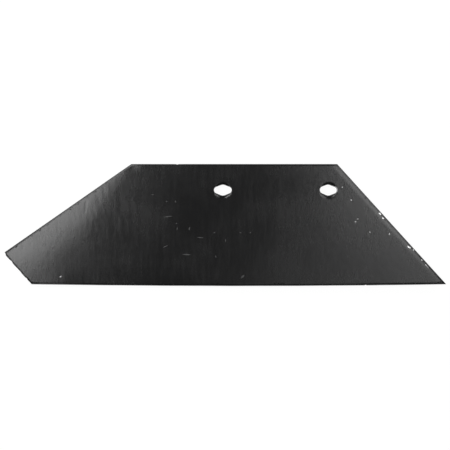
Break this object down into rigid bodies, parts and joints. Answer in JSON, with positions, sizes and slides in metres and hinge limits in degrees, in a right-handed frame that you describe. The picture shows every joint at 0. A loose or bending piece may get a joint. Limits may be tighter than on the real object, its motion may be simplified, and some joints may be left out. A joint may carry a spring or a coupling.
{
  "type": "plough share",
  "caption": "Flat right-hand plough share: slanted steel blade with a pointed landside end, a bevelled cutting edge and countersunk nib holes along its top edge.",
  "frame": {"origin": "midway between the two bolt holes, on the flat back face", "axes": "+X along the blade from the wing to the landside point, +Y from the cutting edge to the top edge, +Z out of the front face"},
  "size_m": [0.5019, 0.1386, 0.01],
  "materials": {
    "black_paint": "semi-gloss black paint over rolled steel, rubbed to bare metal in places along the sheared edges"
  },
  "bodies": {
    "root": {"share_blade": "black_paint"}
  },
  "joints": []
}
